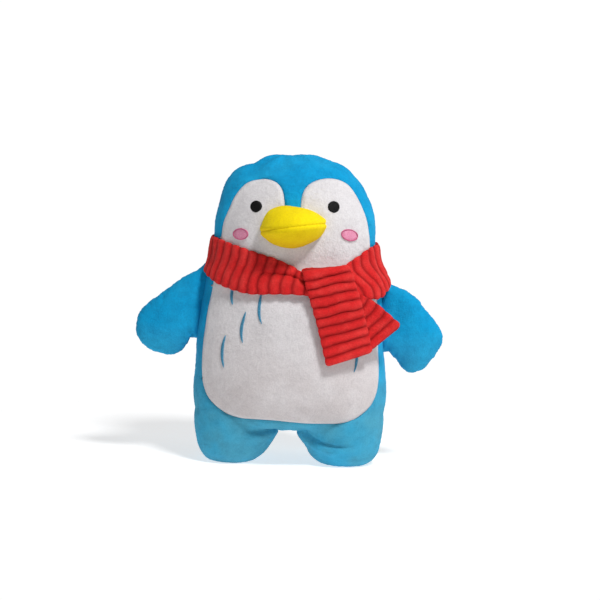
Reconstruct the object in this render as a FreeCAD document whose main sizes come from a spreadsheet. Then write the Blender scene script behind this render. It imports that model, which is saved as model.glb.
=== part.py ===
import FreeCAD, Part
import math
import os
import Sketcher

# A plush penguin with a ribbed scarf. Millimetres, +Z up, and it faces -Y, so its own left is +X.
# It stands on two flat soles at Z = 0. The outer form is one loft for the trunk and head and one for
# each leg. Every skin, lining gap and embroidered layer is that form grown or shrunk by a few millimetres.

SIZES = [
    ("skin", 2.0, "plush fabric with its pile"),
    ("slack", 0.4, "space between a fabric and the filling behind it"),
    ("contact", 0.3, "space between the plush and what lies on it"),
    ("thread", 1.2, "height of embroidery above the plush"),
    ("reach", 100.0, "length of the cutting prisms, deeper than the toy"),
    ("depth_shift", 8.2, "the trunk's axis lies this far behind the middle of the overall depth"),
    ("flipper_gap", 1.3, "space between the side seam and the flipper's root"),
    ("flipper_seam_from_middle", 64.9, "side seam to the middle plane, at the flipper's mid height"),
    ("flipper_seam_level", 109.0, "height of the flipper's mid point on the side seam"),
    ("flipper_seam_tilt", 6.4, "lean of the side seam from upright, degrees"),
    ("beak_level", 168.0, "height of the beak's seam"),
    ("beak_back", 34.5, "beak's centre in front of the trunk's axis"),
    ("beak_half_width", 23.0, "beak"),
    ("beak_half_height", 15.0, "beak"),
    ("beak_half_depth", 25.5, "beak"),
    ("beak_skin", 1.6, "yellow fleece"),
    ("eye_from_middle", 27.0, "eye centre to the middle plane"),
    ("eye_level", 183.0, "height of the eyes"),
    ("eye_half_height", 4.2, "eye"),
    ("eye_half_width", 3.9, "eye"),
    ("cheek_from_middle", 38.5, "cheek centre to the middle plane"),
    ("cheek_level", 163.5, "height of the cheeks"),
    ("cheek_half_width", 5.2, "pink filling of the cheek"),
    ("cheek_half_height", 3.5, "pink filling of the cheek"),
    ("cheek_outline", 0.9, "width of the stitched line around the cheek"),
    ("lobe_from_middle", 24.5, "white lobe around each eye"),
    ("lobe_level", 182.0, "white lobe around each eye"),
    ("lobe_half_width", 20.0, "white lobe around each eye"),
    ("lobe_half_height", 21.5, "white lobe around each eye"),
    ("belly_corner", 26.0, "corner radius at the bottom of the white panel"),
    ("feather_half_length", 10.5, "embroidered feather line"),
    ("feather_half_width", 0.9, "embroidered feather line"),
    ("scarf_thickness", 4.2, "ribbed scarf fabric, two layers"),
    ("band_bottom", 134.5, "lower edge of the scarf at the sides and back"),
    ("band_top", 160.0, "upper edge of the scarf at the sides and back"),
    ("tail_thickness", 3.8, "scarf tails, two layers"),
    ("tail_gap", 2.6, "bare fold between the front tail and the knot"),
]

# name, height, half width, half depth
TRUNK_LEVELS = [
    ("seat", 26.5, 48.0, 22.0),
    ("rump", 31.0, 61.5, 32.0),
    ("hip", 40.0, 67.5, 38.5),
    ("belly", 70.0, 68.0, 43.0),
    ("waist", 100.0, 66.0, 42.0),
    ("chest", 130.0, 62.0, 39.5),
    ("neck", 150.0, 58.8, 37.8),
    ("jaw", 170.0, 56.5, 36.8),
    ("brow", 190.0, 52.5, 32.5),
    ("dome", 204.0, 45.0, 25.0),
    ("crown", 213.0, 34.0, 16.5),
    ("top", 220.0, 14.0, 6.5),
]
# name, height, centre from the middle plane, half width, half depth
LEG_LEVELS = [
    ("sole", 0.0, 40.0, 17.5, 17.0),
    ("welt", 3.0, 39.6, 21.0, 20.5),
    ("foot", 9.0, 39.3, 24.3, 23.5),
    ("ankle", 16.0, 38.6, 27.0, 26.0),
    ("shin", 24.0, 37.4, 29.6, 28.0),
    ("thigh", 34.0, 36.0, 30.6, 29.0),
    ("groin", 50.0, 33.0, 26.0, 25.0),
]
# name, distance from the root, centre along the side seam, half width, half thickness
FLIPPER_LEVELS = [
    ("root", 0.0, -2.5, 23.5, 1.2),
    ("shoulder", 6.0, -6.2, 26.8, 3.2),
    ("upper_arm", 14.0, -10.0, 27.8, 6.3),
    ("mid_arm", 22.0, -13.4, 25.2, 8.2),
    ("fore_arm", 29.0, -16.2, 20.7, 8.2),
    ("palm", 34.5, -17.7, 15.3, 7.2),
    ("tip", 38.6, -18.4, 9.2, 5.2),
    ("end", 40.6, -18.7, 4.0, 2.6),
]
# feather lines, from the toy's top to its bottom: distance from the middle plane, height
FEATHERS = [(43.5, 118.0), (24.0, 110.5), (35.8, 96.8), (48.8, 79.5)]

# Outlines of flat pieces and of cutting prisms: corners in X and Z.
HALF_BIB = [(44.5, 183), (48.8, 176.5), (53, 160), (60, 127), (64.6, 72), (62, 32.5)]
OUTLINES = {
    "bib": HALF_BIB + [(-x, z) for x, z in reversed(HALF_BIB)],
    "band": [(-80, 134.5), (-66, 134.5), (-59, 130.3), (-45, 124), (-25, 121), (0, 120.5), (25, 118),
             (45, 116.5), (57, 123), (66, 134.5), (80, 134.5), (80, 160), (63, 160), (58, 157), (38, 145),
             (20, 139.5), (4, 139), (-10, 144.5), (-35, 152.5), (-60, 159), (-63, 160), (-80, 160)],
    "knot": [(-16, 0), (19.5, 0), (13.5, 19.5), (-18, 19.5)],
    "front_tail": [(-16, 0), (-12, -50), (20.5, -47), (19.5, 0)],
    "rear_tail": [(2, 0), (-11.5, -30), (12.5, -29), (9.5, 0)],
}

value = {name: number for name, number, _ in SIZES}

doc = FreeCAD.newDocument("plush_penguin")


def make_sheet():
    """The spreadsheet of driving dimensions: a note in column A, a number with its alias in column B."""
    sheet = doc.addObject("Spreadsheet::Sheet", "Sizes")
    rows = [(name, number, note) for name, number, note in SIZES]
    for name, height, half_width, half_depth in TRUNK_LEVELS:
        rows += [(name + "_level", height, name + " height"),
                 (name + "_half_width", half_width, name + " half width"),
                 (name + "_half_depth", half_depth, name + " half depth")]
    for name, height, centre, half_width, half_depth in LEG_LEVELS:
        rows += [(name + "_level", height, name + " height"),
                 (name + "_centre", centre, name + " centre from the middle plane"),
                 (name + "_half_width", half_width, name + " half width"),
                 (name + "_half_depth", half_depth, name + " half depth")]
    for name, distance, centre, half_width, half_thickness in FLIPPER_LEVELS:
        rows += [(name + "_distance", distance, name + " distance from the root"),
                 (name + "_centre", centre, name + " centre along the side seam"),
                 (name + "_half_width", half_width, name + " half width"),
                 (name + "_half_thickness", half_thickness, name + " half thickness")]
    for number, (across, height) in enumerate(FEATHERS, 1):
        rows += [(f"feather_across_{number}", across, "feather line from the middle plane"),
                 (f"feather_level_{number}", height, "feather line's height")]
    for name, corners in OUTLINES.items():
        for number, (across, height) in enumerate(corners, 1):
            rows += [(f"{name}_across_{number}", across, f"{name} corner {number}, along X"),
                     (f"{name}_level_{number}", height, f"{name} corner {number}, along Z")]
    for row, (name, number, note) in enumerate(rows, 1):
        sheet.set(f"A{row}", note)
        sheet.set(f"B{row}", str(number))
        sheet.setAlias(f"B{row}", name)
    doc.recompute()
    return sheet


def bind(thing, **expressions):
    """Binds properties of an object to the sheet's cells. A double underscore stands for a dot."""
    for name, expression in expressions.items():
        thing.setExpression(name.replace("__", "."), expression)


def combine(kind, name, *things):
    """A boolean of two objects (Part::Cut) or of several (Part::MultiFuse, Part::MultiCommon)."""
    made = doc.addObject(kind, name)
    if kind == "Part::Cut":
        made.Base, made.Tool = things
    else:
        made.Shapes = list(things)
    return made


def loft(name, sections):
    made = doc.addObject("Part::Loft", name)
    made.Sections = sections
    made.Solid = True
    return made


def level_ellipse(name, level, half_width, half_depth, across="0"):
    """A horizontal ellipse at a height, with its long axis along X."""
    ellipse = doc.addObject("Part::Ellipse", name)
    bind(ellipse, MajorRadius=half_width, MinorRadius=half_depth)
    bind(ellipse, Placement__Base__x=across, Placement__Base__z=level)
    return ellipse


def trunk_loft(name, growth):
    """The trunk and head, grown all round by an expression of the sheet."""
    last = len(TRUNK_LEVELS) - 1
    sections = []
    for number, (level, *_) in enumerate(TRUNK_LEVELS):
        rise = {0: f" - ({growth})", last: f" + ({growth})"}.get(number, "")
        sections.append(level_ellipse(
            f"{name}_{level}",
            f"Sizes.{level}_level{rise}",
            f"Sizes.{level}_half_width + {growth}",
            f"Sizes.{level}_half_depth + {growth}",
        ))
    return loft(name, sections)


def leg_loft(name, growth):
    """The toy's left leg, whose top end lies inside the trunk."""
    sections = []
    for number, (level, *_) in enumerate(LEG_LEVELS):
        rise = f" - ({growth})" if number == 0 else ""
        sections.append(level_ellipse(
            f"{name}_{level}",
            f"Sizes.{level}_level{rise}",
            f"Sizes.{level}_half_width + {growth}",
            f"Sizes.{level}_half_depth + {growth}",
            f"Sizes.{level}_centre",
        ))
    return loft(name, sections)


def mirrored(thing, name):
    """A copy of an object on the other side of the middle plane."""
    made = doc.addObject("Part::Mirroring", name)
    made.Source = thing
    made.Normal = FreeCAD.Vector(1, 0, 0)
    return made


def body_form(name, growth):
    """Trunk, head and both legs as one solid, grown by an expression of the sheet."""
    leg = leg_loft(name + "_leg", growth)
    return combine("Part::MultiFuse", name, trunk_loft(name + "_trunk", growth), leg,
                   mirrored(leg, name + "_other_leg"))


def half_space(name, low, high):
    """A box between two corners, to split a form with."""
    box = doc.addObject("Part::Box", name)
    size = [b - a for a, b in zip(low, high)]
    box.Length, box.Width, box.Height = size
    box.Placement.Base = FreeCAD.Vector(*low)
    return box


def upright_prism(name, across, level, half_height, half_width, tall=True):
    """An elliptic prism from the middle of the toy out through its front, to cut a patch from a layer."""
    ellipse = doc.addObject("Part::Ellipse", name + "_outline")
    bind(ellipse, MajorRadius=half_height if tall else half_width)
    bind(ellipse, MinorRadius=half_width if tall else half_height)
    # the ellipse stands in the XZ plane; its long axis is turned to Z where the patch is taller than wide
    stand = FreeCAD.Rotation(FreeCAD.Vector(1, 0, 0), 90)
    turn = FreeCAD.Rotation(FreeCAD.Vector(0, 0, 1), 90 if tall else 0)
    ellipse.Placement.Rotation = stand.multiply(turn)
    bind(ellipse, Placement__Base__x=across, Placement__Base__z=level)
    prism = doc.addObject("Part::Extrusion", name)
    prism.Base = ellipse
    prism.DirMode = "Custom"
    prism.Dir = FreeCAD.Vector(0, -1, 0)
    prism.Solid = True
    bind(prism, LengthFwd="Sizes.reach")
    return prism


def polygon_pad(name, outline, length, radius=None, rounded=()):
    """A PartDesign body: a closed outline in the XZ plane, padded towards -Y, with chosen corners rounded."""
    body = doc.addObject("PartDesign::Body", name)
    sketch = body.newObject("Sketcher::SketchObject", name + "_outline")
    plane = next(f for f in body.Origin.OriginFeatures if f.Role == "XZ_Plane")
    sketch.AttachmentSupport = [(plane, "")]
    sketch.MapMode = "FlatFace"
    points = [FreeCAD.Vector(x, z, 0) for x, z in OUTLINES[outline]]
    following = [(number + 1) % len(points) for number in range(len(points))]
    for number, point in enumerate(points):
        sketch.addGeometry(Part.LineSegment(point, points[following[number]]))
    for number, point in enumerate(points):
        sketch.addConstraint(Sketcher.Constraint("Coincident", number, 2, following[number], 1))
        for kind, cell, start in (("DistanceX", "across", point.x), ("DistanceY", "level", point.y)):
            # a distance is positive: on the negative side it is measured from the corner to the origin
            ends = (number, 1, -1, 1) if start < 0 else (-1, 1, number, 1)
            sign = "-" if start < 0 else ""
            index = sketch.addConstraint(Sketcher.Constraint(kind, *ends, abs(start)))
            sketch.setExpression(f"Constraints[{index}]", f"{sign}Sizes.{outline}_{cell}_{number + 1}")
    doc.recompute()
    pad = body.newObject("PartDesign::Pad", name + "_pad")
    pad.Profile = sketch
    bind(pad, Length=length)
    doc.recompute()
    if rounded:
        chosen = [points[corner - 1] for corner in rounded]
        edges = []
        for number, edge in enumerate(pad.Shape.Edges, 1):
            first, last = edge.Vertexes[0].Point, edge.Vertexes[-1].Point
            upright = abs(first.x - last.x) + abs(first.z - last.z) < 0.01
            if upright and any(abs(first.x - p.x) + abs(first.z - p.y) < 0.01 for p in chosen):
                edges.append(f"Edge{number}")
        fillet = body.newObject("PartDesign::Fillet", name + "_rounding")
        fillet.Base = (pad, edges)
        bind(fillet, Radius=radius)
        doc.recompute()
    return body


def trunk_parts():
    """Front and back plush panels, the white front panel and the filling."""
    outer = body_form("outer_form", "0")
    lining = body_form("lining_form", "-Sizes.skin")
    filling = body_form("filling_form", "-Sizes.skin - Sizes.slack")
    shell = combine("Part::Cut", "trunk_shell", outer, lining)
    reach = value["reach"]
    front_half = half_space("front_half", (-reach, -reach, -10), (reach, 0, 250))
    back_half = half_space("back_half", (-reach, 0, -10), (reach, reach, 250))
    front = combine("Part::MultiCommon", "front_shell", shell, front_half)
    bottom_corners = (len(HALF_BIB), len(HALF_BIB) + 1)
    bib = polygon_pad("bib_prism", "bib", "Sizes.reach", "Sizes.belly_corner", bottom_corners)
    lobes = [upright_prism(f"lobe_prism_{number}", f"{side}Sizes.lobe_from_middle", "Sizes.lobe_level",
                           "Sizes.lobe_half_height", "Sizes.lobe_half_width")
             for number, side in enumerate(("", "-"), 1)]
    white = combine("Part::MultiFuse", "white_prism", bib, *lobes)
    return {
        "body_front_panel": combine("Part::Cut", "body_front_panel", front, white),
        "body_back_panel": combine("Part::MultiCommon", "body_back_panel", shell, back_half),
        "white_front_panel": combine("Part::MultiCommon", "white_front_panel", front, white),
        "body_stuffing": filling,
    }


def flipper_form(name, growth, levels, inset=0.0):
    """The toy's left flipper as a solid, grown by an expression. Its sections stand across the distance
    from the side seam, in a frame that leans with the seam."""
    lean = math.radians(value["flipper_seam_tilt"])
    outward = FreeCAD.Vector(math.cos(lean), 0, math.sin(lean))
    along = FreeCAD.Vector(-math.sin(lean), 0, math.cos(lean))
    start = FreeCAD.Vector(value["flipper_seam_from_middle"] + value["flipper_gap"], 0,
                           value["flipper_seam_level"])
    frame = FreeCAD.Matrix(along.x, 0, outward.x, 0, along.y, 1, outward.y, 0, along.z, 0, outward.z, 0)
    sections = []
    for number, (level, distance, centre, *_) in enumerate(levels):
        inwards = {0: inset, len(levels) - 1: -inset}.get(number, 0.0)
        ellipse = doc.addObject("Part::Ellipse", f"{name}_{level}")
        bind(ellipse, MajorRadius=f"Sizes.{level}_half_width + {growth}",
             MinorRadius=f"Sizes.{level}_half_thickness + {growth}")
        place = start + outward * (distance + inwards) + along * centre
        ellipse.Placement = FreeCAD.Placement(place, FreeCAD.Rotation(frame))
        sections.append(ellipse)
    return loft(name, sections)


def flipper_parts():
    """For each side a front and a back plush panel, sewn round their edge, and the filling."""
    outer = flipper_form("flipper_outer", "0", FLIPPER_LEVELS)
    lining = flipper_form("flipper_lining", "-Sizes.skin", FLIPPER_LEVELS[2:-1])
    filling = flipper_form("flipper_filling", "-Sizes.skin - Sizes.slack", FLIPPER_LEVELS[2:-1],
                           value["slack"])
    shell = combine("Part::Cut", "flipper_shell", outer, lining)
    reach = value["reach"]
    front_box = half_space("flipper_front_box", (30, -reach, 0), (200, 0, 200))
    back_box = half_space("flipper_back_box", (30, 0, 0), (200, reach, 200))
    left = {
        "left_flipper_front": combine("Part::MultiCommon", "left_flipper_front", shell, front_box),
        "left_flipper_back": combine("Part::MultiCommon", "left_flipper_back", shell, back_box),
        "left_flipper_stuffing": filling,
    }
    right = {name.replace("left", "right"): mirrored(made, name.replace("left", "right"))
             for name, made in left.items()}
    return {**left, **right}


def beak_form(name, growth):
    """A beak-shaped ellipsoid, grown by an expression."""
    form = doc.addObject("Part::Ellipsoid", name)
    bind(form, Radius1=f"Sizes.beak_half_height + {growth}", Radius2=f"Sizes.beak_half_width + {growth}",
         Radius3=f"Sizes.beak_half_depth + {growth}")
    bind(form, Placement__Base__z="Sizes.beak_level", Placement__Base__y="-Sizes.beak_back")
    return form


def beak_parts(face):
    """Upper and lower fleece panels joined along a seam across the beak, and the filling."""
    shell = combine("Part::Cut", "beak_shell", beak_form("beak_outer", "0"),
                    beak_form("beak_lining", "-Sizes.beak_skin"))
    reach, level = value["reach"], value["beak_level"]
    upper_box = half_space("beak_upper_box", (-reach, -reach, level), (reach, 0, level + reach))
    lower_box = half_space("beak_lower_box", (-reach, -reach, level - reach), (reach, 0, level))
    proud = combine("Part::Cut", "beak_proud", shell, face)
    filling = beak_form("beak_filling", "-Sizes.beak_skin - Sizes.slack")
    return {
        "beak_upper": combine("Part::MultiCommon", "beak_upper", proud, upper_box),
        "beak_lower": combine("Part::MultiCommon", "beak_lower", proud, lower_box),
        "beak_stuffing": combine("Part::Cut", "beak_stuffing", filling, face),
    }


def embroidery_parts(face, raised, band_prism):
    """Satin-stitched eyes, cheeks with a darker outline, and feather lines that end at the scarf."""
    layer = combine("Part::Cut", "thread_layer", raised, face)
    made = {}
    for side, sign in (("left", ""), ("right", "-")):
        eye = upright_prism(f"{side}_eye_prism", f"{sign}Sizes.eye_from_middle", "Sizes.eye_level",
                            "Sizes.eye_half_height", "Sizes.eye_half_width")
        made[f"{side}_eye"] = combine("Part::MultiCommon", f"{side}_eye", layer, eye)
        place = (f"{sign}Sizes.cheek_from_middle", "Sizes.cheek_level")
        pink = upright_prism(f"{side}_cheek_prism", *place, "Sizes.cheek_half_height",
                             "Sizes.cheek_half_width", tall=False)
        whole = upright_prism(f"{side}_cheek_outer_prism", *place,
                              "Sizes.cheek_half_height + Sizes.cheek_outline",
                              "Sizes.cheek_half_width + Sizes.cheek_outline", tall=False)
        ring = combine("Part::Cut", f"{side}_cheek_ring_prism", whole, pink)
        made[f"{side}_cheek"] = combine("Part::MultiCommon", f"{side}_cheek", layer, pink)
        made[f"{side}_cheek_outline"] = combine("Part::MultiCommon", f"{side}_cheek_outline", layer, ring)
        lines = [upright_prism(f"{side}_feather_prism_{number}", f"{sign}Sizes.feather_across_{number}",
                               f"Sizes.feather_level_{number}", "Sizes.feather_half_length",
                               "Sizes.feather_half_width")
                 for number in range(1, len(FEATHERS) + 1)]
        prisms = combine("Part::MultiFuse", f"{side}_feather_prisms", *lines)
        whole_lines = combine("Part::MultiCommon", f"{side}_feather_lines", layer, prisms)
        made[f"{side}_feather_stitches"] = combine("Part::Cut", f"{side}_feather_stitches",
                                                   whole_lines, band_prism)
    return made


def scarf_band(face, front_prism):
    """The wrap round the neck: level at the back, and hanging to the knot at the front."""
    outside = trunk_loft("band_outside", "Sizes.contact + Sizes.scarf_thickness")
    sleeve = combine("Part::Cut", "band_sleeve", outside, face)
    reach = value["reach"]
    back = half_space("band_back_box", (-reach, 0, value["band_bottom"]), (reach, reach, value["band_top"]))
    return combine("Part::MultiCommon", "scarf_band", sleeve,
                   combine("Part::MultiFuse", "band_prism", front_prism, back))


def fabric_frame(place, yaw, pitch, roll):
    """The frame of a flat scarf piece: its fold lies along X, it hangs along -Z, and its face is -Y."""
    turn = (FreeCAD.Rotation(FreeCAD.Vector(0, 0, 1), yaw)
            .multiply(FreeCAD.Rotation(FreeCAD.Vector(1, 0, 0), pitch))
            .multiply(FreeCAD.Rotation(FreeCAD.Vector(0, 1, 0), -roll)))
    return FreeCAD.Placement(FreeCAD.Vector(*place), turn)


KNOT_FOLD = fabric_frame((26.5, -43.0, 122.0), 16.0, 0.0, 11.0)
FRONT_FOLD = fabric_frame((26.5, -42.4, 122.0), 16.0, -4.0, 11.0)
REAR_FOLD = fabric_frame((48.5, -32.0, 116.5), 11.0, -1.0, 37.5)


def scarf_pieces(face, band_prism):
    """The band, the loop of the knot and the two hanging tails. Each tail is a flat strip of the scarf."""
    knot = polygon_pad("scarf_knot", "knot", "Sizes.tail_thickness")
    above_fold = FreeCAD.Placement(FreeCAD.Vector(0, 0, value["tail_gap"]), FreeCAD.Rotation())
    knot.Placement = KNOT_FOLD.multiply(above_fold)
    front_tail = polygon_pad("scarf_front_tail", "front_tail", "Sizes.tail_thickness")
    front_tail.Placement = FRONT_FOLD
    rear_tail = polygon_pad("scarf_rear_tail", "rear_tail", "Sizes.tail_thickness")
    rear_tail.Placement = REAR_FOLD
    return {"scarf_band": scarf_band(face, band_prism), "scarf_knot": knot, "scarf_front_tail": front_tail,
            "scarf_rear_tail": rear_tail}


def check(parts):
    """Stops if an object failed, or a sub-part's shape is empty or invalid."""
    for thing in doc.Objects:
        if "Invalid" in thing.State or "Error" in thing.State:
            raise SystemExit(f"{thing.Name} failed: {thing.State}")
    for name, thing in parts.items():
        shape = thing.Shape
        if shape.isNull() or not shape.isValid() or not shape.Solids:
            raise SystemExit(f"{name} has no valid solid")
        box = shape.BoundBox
        print(f"{name}: {len(shape.Solids)} solids, {shape.Volume:.0f} mm3, "
              f"x {box.XMin:.1f} {box.XMax:.1f} y {box.YMin:.1f} {box.YMax:.1f} z {box.ZMin:.1f} {box.ZMax:.1f}")


def main():
    make_sheet()
    parts = trunk_parts()
    face = trunk_loft("face_clearance", "Sizes.contact")
    raised = trunk_loft("thread_height", "Sizes.contact + Sizes.thread")
    parts.update(flipper_parts())
    parts.update(beak_parts(face))
    band_prism = polygon_pad("band_front_prism", "band", "Sizes.reach")
    parts.update(embroidery_parts(face, raised, band_prism))
    parts.update(scarf_pieces(face, band_prism))
    for name, thing in parts.items():
        thing.Label = name
        if thing.TypeId != "Part::Mirroring":  # a mirrored part follows its source
            bind(thing, Placement__Base__y=f"Sizes.depth_shift + ({thing.Placement.Base.y:.4f})")
    doc.recompute()
    check(parts)
    os.makedirs("parts", exist_ok=True)
    for name, thing in parts.items():
        thing.Shape.exportStep(f"parts/{name}.step")


main()
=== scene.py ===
"""A plush penguin in a corduroy scarf, built round its CAD frame.

Lengths are millimetres until add_mesh makes a mesh. +X is the toy's left, -Y its front and +Z up.
"""
import math

import bmesh
import bpy
import numpy as np
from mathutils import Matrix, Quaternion, Vector
from mathutils.bvhtree import BVHTree
from mathutils.geometry import delaunay_2d_cdt
from mathutils.kdtree import KDTree


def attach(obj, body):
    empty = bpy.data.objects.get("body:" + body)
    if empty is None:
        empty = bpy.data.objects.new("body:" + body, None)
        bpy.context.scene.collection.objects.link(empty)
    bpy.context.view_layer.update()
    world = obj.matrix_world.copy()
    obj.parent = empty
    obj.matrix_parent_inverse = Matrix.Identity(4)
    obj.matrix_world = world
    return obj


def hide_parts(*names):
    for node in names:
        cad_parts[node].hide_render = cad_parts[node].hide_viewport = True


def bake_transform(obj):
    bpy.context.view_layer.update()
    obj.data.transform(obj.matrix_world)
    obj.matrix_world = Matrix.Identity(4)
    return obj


MM = 0.001
MID_Y = 8.2  # the side seams lie in this plane
RIB = 6.6  # spacing of the corduroy's ribs
FINE_VOXEL, COARSE_VOXEL = 1.15, 5.0  # mesh sizes of the trunk: to look at, and to simulate
FABRIC = 1.4  # thickness of a plush panel
BACK, BLUE_FRONT, WHITE_FRONT = 0, 1, 2  # the trunk's three panels

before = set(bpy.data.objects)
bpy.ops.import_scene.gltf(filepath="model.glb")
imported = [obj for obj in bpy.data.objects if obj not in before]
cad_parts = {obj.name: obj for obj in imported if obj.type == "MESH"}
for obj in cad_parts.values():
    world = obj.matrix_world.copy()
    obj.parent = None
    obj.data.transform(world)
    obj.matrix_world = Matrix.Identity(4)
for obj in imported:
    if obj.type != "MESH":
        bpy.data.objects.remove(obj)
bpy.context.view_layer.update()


# ---------------------------------------------------------------- meshes

def add_mesh(name, points, faces, material=None):
    """A smooth-shaded object from points in millimetres."""
    mesh = bpy.data.meshes.new(name)
    mesh.from_pydata((np.asarray(points) * MM).tolist(), [], [tuple(map(int, f)) for f in faces])
    mesh.update()
    mesh.polygons.foreach_set("use_smooth", [True] * len(mesh.polygons))
    if material:
        mesh.materials.append(material)
    obj = bpy.data.objects.new(name, mesh)
    bpy.context.scene.collection.objects.link(obj)
    return obj


def points_of(mesh):
    co = np.zeros(len(mesh.vertices) * 3)
    mesh.vertices.foreach_get("co", co)
    return co.reshape(-1, 3) / MM


def faces_of(mesh):
    return [tuple(p.vertices) for p in mesh.polygons]


def baked(obj):
    """The points and faces of an object with its modifiers applied. The object is removed."""
    evaluated = obj.evaluated_get(bpy.context.evaluated_depsgraph_get())
    mesh = bpy.data.meshes.new_from_object(evaluated)
    result = points_of(mesh), faces_of(mesh)
    bpy.data.meshes.remove(mesh)
    bpy.data.objects.remove(obj)
    return result


def normals_of(points, faces):
    """Unit normals at the points."""
    total = np.zeros_like(points)
    for count in {len(f) for f in faces}:
        f = np.array([x for x in faces if len(x) == count])
        across = points[f[:, 2]] - points[f[:, 0]]
        along = points[f[:, -1]] - points[f[:, 1]]
        if count == 3:
            along = points[f[:, 2]] - points[f[:, 1]]
            across = points[f[:, 1]] - points[f[:, 0]]
        face_normals = np.cross(across, along)
        for corner in range(count):
            np.add.at(total, f[:, corner], face_normals)
    return total / np.maximum(np.linalg.norm(total, axis=1, keepdims=True), 1e-9)


def edges_of(faces):
    """Every edge once, as a pair of points, and how many faces it belongs to."""
    pairs = np.array([(f[i], f[(i + 1) % len(f)]) for f in faces for i in range(len(f))])
    return np.unique(np.sort(pairs, axis=1), axis=0, return_counts=True)


def evened(points, edges, rounds):
    """Points moved half-way to the middle of their neighbours along these edges, over and over. Points that
    are on none of the edges stay."""
    points = points.copy()
    count = np.bincount(edges.ravel(), minlength=len(points))
    moving = count > 0
    for _ in range(rounds):
        total = np.zeros_like(points)
        np.add.at(total, edges[:, 0], points[edges[:, 1]])
        np.add.at(total, edges[:, 1], points[edges[:, 0]])
        points[moving] += 0.5 * (total[moving] / count[moving, None] - points[moving])
    return points


def smoothed(points, faces, rounds):
    return evened(points, edges_of(faces)[0], rounds)


def subdivided(points, faces, levels=1):
    obj = add_mesh("subdivision_run", points, faces)
    modifier = obj.modifiers.new("Subdivision", "SUBSURF")
    modifier.levels = modifier.render_levels = levels
    return baked(obj)


def remeshed(points, faces, size):
    """An even closed mesh of quads round a shape, keeping only its largest, outermost surface."""
    obj = add_mesh("remesh_run", points, faces)
    modifier = obj.modifiers.new("Remesh", "REMESH")
    modifier.mode = "VOXEL"
    modifier.voxel_size = size * MM
    points, faces = baked(obj)
    label = np.arange(len(points))
    edges, _ = edges_of(faces)
    while True:
        lowest = np.minimum(label[edges[:, 0]], label[edges[:, 1]])
        before = label.copy()
        np.minimum.at(label, edges[:, 0], lowest)
        np.minimum.at(label, edges[:, 1], lowest)
        label = label[label]
        if (label == before).all():
            break
    largest = np.bincount(label).argmax()
    kept = label == largest
    new_index = np.cumsum(kept) - 1
    return points[kept], [tuple(new_index[v] for v in f) for f in faces if kept[f[0]]]


# ---------------------------------------------------------------- shape helpers

def waves(points, length, seed, count=36):
    """Smooth random bumps of about -1 to 1 and of one size, a sum of waves in random directions."""
    random = np.random.default_rng(seed)
    directions = random.normal(size=(count, 3))
    directions /= np.linalg.norm(directions, axis=1, keepdims=True)
    lengths = length * random.uniform(0.75, 1.35, count)
    phases = random.uniform(0, 2 * math.pi, count)
    total = np.zeros(len(points))
    for direction, wavelength, phase in zip(directions, lengths, phases):
        total += np.sin(points @ direction * (2 * math.pi / wavelength) + phase)
    return total * (2 / count) ** 0.5 / 1.6


def bell(distance, width):
    return np.exp(-((distance / width) ** 2))


def smoothstep(x, low, high):
    t = np.clip((x - low) / (high - low), 0, 1)
    return t * t * (3 - 2 * t)


def softened(values):
    """A row of numbers, each mixed with its neighbours."""
    return np.convolve(np.pad(values, 1, "edge"), (0.25, 0.5, 0.25), "valid")


def tree_of(points):
    """A search tree for the nearest of these points."""
    tree = KDTree(len(points))
    for index, p in enumerate(points):
        tree.insert(p, index)
    tree.balance()
    return tree


def closed_curve(corners, spacing):
    """An evenly spaced smooth closed line through corners, by Catmull-Rom."""
    corners = np.array(corners, float)
    before, after, later = (np.roll(corners, k, axis=0) for k in (1, -1, -2))
    t = np.linspace(0, 1, 24, endpoint=False)[None, :, None]
    p0, p1, p2, p3 = (c[:, None, :] for c in (before, corners, after, later))
    line = 0.5 * (2 * p1 + (p2 - p0) * t + (2 * p0 - 5 * p1 + 4 * p2 - p3) * t**2
                  + (3 * p1 - p0 - 3 * p2 + p3) * t**3)
    line = line.reshape(-1, 2)
    steps = np.linalg.norm(np.roll(line, -1, axis=0) - line, axis=1)
    along = np.concatenate([[0], np.cumsum(steps)])
    line = np.vstack([line, line[:1]])
    at = np.linspace(0, along[-1], int(along[-1] / spacing), endpoint=False)
    return np.stack([np.interp(at, along, line[:, k]) for k in range(2)], axis=1)


def line_distance(points, line, closed=False):
    """For 2-D points: the distance to a polyline, the nearest place on it, and how far along it that is."""
    ends = np.roll(line, -1, axis=0) if closed else line[1:]
    starts = line if closed else line[:-1]
    best = np.full(len(points), 1e9)
    place = np.zeros_like(points)
    travel = np.zeros(len(points))
    done = 0.0
    for a, b in zip(starts, ends):
        ab = b - a
        length = np.linalg.norm(ab)
        t = np.clip((points - a) @ ab / max(length**2, 1e-12), 0, 1)
        near = a + t[:, None] * ab
        d = np.linalg.norm(points - near, axis=1)
        closer = d < best
        best[closer] = d[closer]
        place[closer] = near[closer]
        travel[closer] = done + t[closer] * length
        done += length
    return best, place, travel


def inside(points, polygon):
    """True for the 2-D points inside a closed polygon."""
    result = np.zeros(len(points), bool)
    for a, b in zip(polygon, np.roll(polygon, -1, axis=0)):
        crosses = (a[1] > points[:, 1]) != (b[1] > points[:, 1])
        with np.errstate(divide="ignore", invalid="ignore"):
            x = (b[0] - a[0]) * (points[:, 1] - a[1]) / (b[1] - a[1]) + a[0]
        result ^= crosses & (points[:, 0] < x)
    return result


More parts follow.
